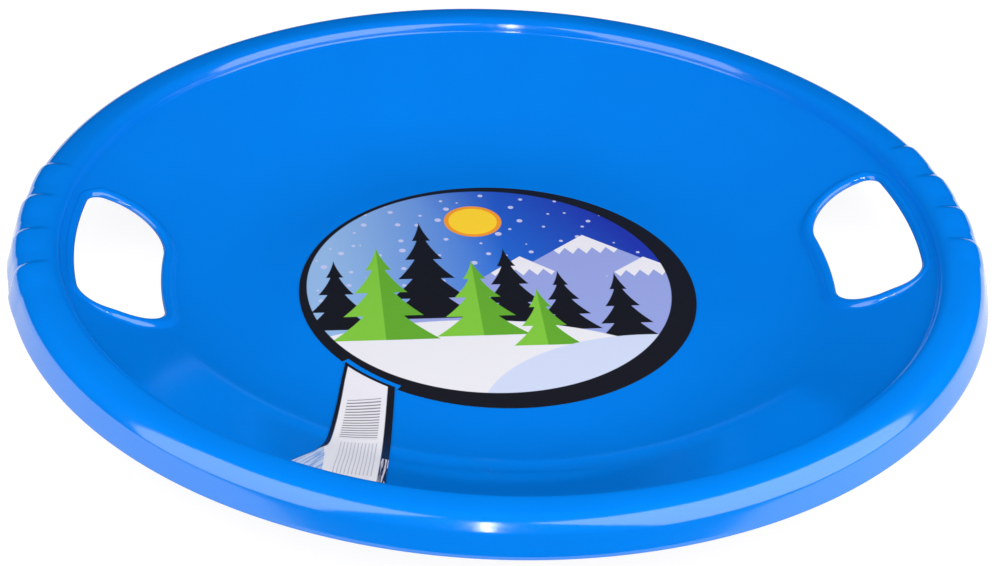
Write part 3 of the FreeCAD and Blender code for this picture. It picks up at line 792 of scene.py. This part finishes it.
crease_map = add(tree, "ShaderNodeMapping", strip, plugs={"Scale": CREASE_COUNTS}).outputs[0]
crease = add(tree, "ShaderNodeTexNoise", crease_map, plugs={"Scale": 1.0, "Detail": 2.0}).outputs["Fac"]
folds = add(tree, "ShaderNodeMath", crease, FOLD_GAIN, FOLD_LEVEL, operation="MULTIPLY_ADD").outputs[0]
tip_width = add(tree, "ShaderNodeMapRange", along, TIP_START, LABEL_LENGTH, 0, TIP_WIDTH).outputs[0]
in_tip = past(tip_width, from_left)
print_field = print_over(print_field, in_tip, CLEAR_TIP)
print_field = print_over(print_field, both(in_tip, folds), TIP_FOLD)
left_border = add(tree, "ShaderNodeMapRange", along, *BORDER_END, *LEFT_BORDER).outputs[0]
inside = both(past(from_left, left_border), both(past(from_right, RIGHT_BORDER), past(along, HEAD_BORDER)))
print_field = print_over(BORDER, inside, print_field)
# Painted highlights: pale streaks on the creases near the right edge of the lower end
painted_glint_streaks = both(folds, both(past(along, GLINT_START), past(GLINT_WIDTH, from_right)))
print_field = print_over(print_field, painted_glint_streaks, PAINTED_CREASE_GLINT)

# %% Finish of the label film
# Coated label film is satin like the sticker, and the creases are shallow folds along the strip
LABEL_ROUGHNESS = (0.3, 0.45)
CREASE_DEPTH = 0.1

satin = add(tree, "ShaderNodeMapRange", crease, *NOISE_SPAN, *LABEL_ROUGHNESS).outputs[0]
relief = add(tree, "ShaderNodeBump", plugs={"Strength": 1.0, "Distance": CREASE_DEPTH * MM, "Height": crease})
tree.links.new(print_field, shader.inputs["Base Color"])
tree.links.new(satin, shader.inputs["Roughness"])
tree.links.new(relief.outputs[0], shader.inputs["Normal"])
wear(label, label_film)

# %% [markdown]
# ## The floor and the white behind it
# The sled lies close to the front edge of a white table in a dark studio. A table that ends there keeps its
# white out of the front of the skirt, which mirrors the room behind the camera. The table glows white, and
# near the sled its glow is taken away for mirrored rays: a painted shadow where the sled would shade it.
# The white behind the sled is seen by the camera only: Light Path tells the shader which kind of ray asks,
# so it puts no extra light on the plastic.

# %% White table
# Metres, because a table is large
TABLE_FRONT, TABLE_BACK = -0.5, 2.0
TABLE_HALF_WIDTH = 1.0
TABLE_GREY, TABLE_ROUGHNESS = 0.2, 0.9
TABLE_GLOW = 0.9
SHADOW_EDGE = (0.26, 0.31)

leave_everything()
bpy.ops.mesh.primitive_plane_add(size=1)
floor = bpy.context.object
floor.name = "studio_floor"
for corner in floor.data.vertices:
    corner.co.x = math.copysign(TABLE_HALF_WIDTH, corner.co.x)
    corner.co.y = TABLE_FRONT if corner.co.y < 0 else TABLE_BACK
ground, tree, shader = new_material("white_studio_table")
shader.inputs["Base Color"].default_value = (TABLE_GREY, TABLE_GREY, TABLE_GREY, 1)
shader.inputs["Roughness"].default_value = TABLE_ROUGHNESS
shader.inputs["Specular IOR Level"].default_value = 0
shader.inputs["Emission Color"].default_value = WHITE
ray = add(tree, "ShaderNodeLightPath").outputs
place = add(tree, "ShaderNodeTexCoord").outputs["Object"]
# Painted shadow: within SHADOW_EDGE of the sled's middle the glow fades out for mirrored rays
from_sled = add(tree, "ShaderNodeVectorMath", place, operation="LENGTH").outputs["Value"]
lit = add(tree, "ShaderNodeMapRange", from_sled, *SHADOW_EDGE).outputs[0]
mirrored = add(tree, "ShaderNodeMath", ray["Is Glossy Ray"], lit, operation="MULTIPLY").outputs[0]
seen = add(tree, "ShaderNodeMath", ray["Is Camera Ray"], mirrored, operation="MAXIMUM").outputs[0]
glow = add(tree, "ShaderNodeMath", seen, TABLE_GLOW, operation="MULTIPLY").outputs[0]
tree.links.new(glow, shader.inputs["Emission Strength"])
wear(floor, ground)

# %% White background
FILL = 0.38

world = bpy.data.worlds.new("studio")
bpy.context.scene.world = world
world.use_nodes = True
tree = world.node_tree
backdrop = tree.nodes["Background"].inputs
ray = add(tree, "ShaderNodeLightPath").outputs
level = add(tree, "ShaderNodeMath", ray["Is Diffuse Ray"], FILL, ray["Is Camera Ray"],
            operation="MULTIPLY_ADD").outputs[0]
backdrop["Color"].default_value = WHITE
tree.links.new(level, backdrop["Strength"])
print("background:", len(tree.nodes), "nodes")

# %% [markdown]
# ## Studio lights
# Two large softboxes stand to the right and left in front of the sled, and one narrow strip stands behind
# the camera. On a glossy dish their places can be read from their reflections: each bright streak on the rim
# is the mirror image of a lamp. So a lamp is placed here by the direction in which it is seen from the sled.

# %% Softboxes and strip
SOFTBOX_DISTANCE = 1.0
STRIP_DISTANCE = 1.6


def panel(name, distance, azimuth, elevation, width, height, level):
    """A lit panel that faces the sled, as wide and high as it looks from there, in degrees."""
    across, up = math.radians(azimuth), math.radians(elevation)
    towards = Vector((math.cos(across) * math.cos(up), math.sin(across) * math.cos(up), math.sin(up)))
    bpy.ops.object.light_add(type="AREA", location=towards * distance,
                             rotation=towards.to_track_quat("Z", "Y").to_euler())
    lamp = bpy.context.object
    lamp.name = name
    lamp.data.shape = "RECTANGLE"
    lamp.data.size = 2 * distance * math.tan(math.radians(width) / 2)
    lamp.data.size_y = 2 * distance * math.tan(math.radians(height) / 2)
    lamp.data.energy = level * math.pi * lamp.data.size * lamp.data.size_y
    print(name, "%.2f by %.2f m" % (lamp.data.size, lamp.data.size_y))


panel("right_softbox", SOFTBOX_DISTANCE, azimuth=-38.5, elevation=33, width=62, height=60, level=2.2)
panel("left_softbox", SOFTBOX_DISTANCE, azimuth=-147, elevation=33, width=43, height=60, level=2.0)
panel("front_strip", STRIP_DISTANCE, azimuth=-97.8, elevation=33, width=1.8, height=40, level=24)

# %% [markdown]
# ## The films in mirrored rays
# The photograph shows no mirror image of the two films in the glossy wall. Each object has a switch for the
# kinds of rays that can see it, so mirrored rays pass through the films here, and all others still see them.

# %% Leave the films out of mirrored rays
for thin_film in (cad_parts["round_sticker"], label):
    thin_film.visible_glossy = False
    print("not mirrored:", thin_film.name)

# %% [markdown]
# ## The camera
# The camera stands where the photograph was taken: its height and turn were found by fitting the sled's rim
# and floor to the picture. It looks at the middle of the dish from 1.4 m. A camera looks along its own
# downward axis, so it is turned first and then moved back along that axis.

# %% Camera
AZIMUTH, ELEVATION, ROLL = -7.8, 33.41, 2.77
DISTANCE = 1400.0
TARGET = Vector((0, 0, 3.0))
LENS, SENSOR_WIDTH = 80.0, 36.0
SHIFT_X, SHIFT_Y = 0.0018, 0.0071

turn = (Matrix.Rotation(math.radians(AZIMUTH), 3, "Z")
        @ Matrix.Rotation(math.radians(90 - ELEVATION), 3, "X")
        @ Matrix.Rotation(math.radians(ROLL), 3, "Z"))
back = turn @ Vector((0, 0, 1))
bpy.ops.object.camera_add(location=(TARGET + back * DISTANCE) * MM, rotation=turn.to_euler())
camera = bpy.context.object
camera.data.lens = LENS
camera.data.sensor_width = SENSOR_WIDTH
camera.data.shift_x = SHIFT_X
camera.data.shift_y = SHIFT_Y
bpy.context.scene.camera = camera
bpy.context.scene.view_settings.view_transform = "Standard"
print("camera at %.3f, %.3f, %.3f m" % tuple(camera.location))

# %% [markdown]
# ## Sizes
# A box's two corners are turned into plain numbers. The finished sled has to stay inside the box of its
# CAD model.

# %% Box corners as plain numbers
def corners(box):
    """A box's two corners as plain numbers."""
    return [[float(number) for number in corner] for corner in box]
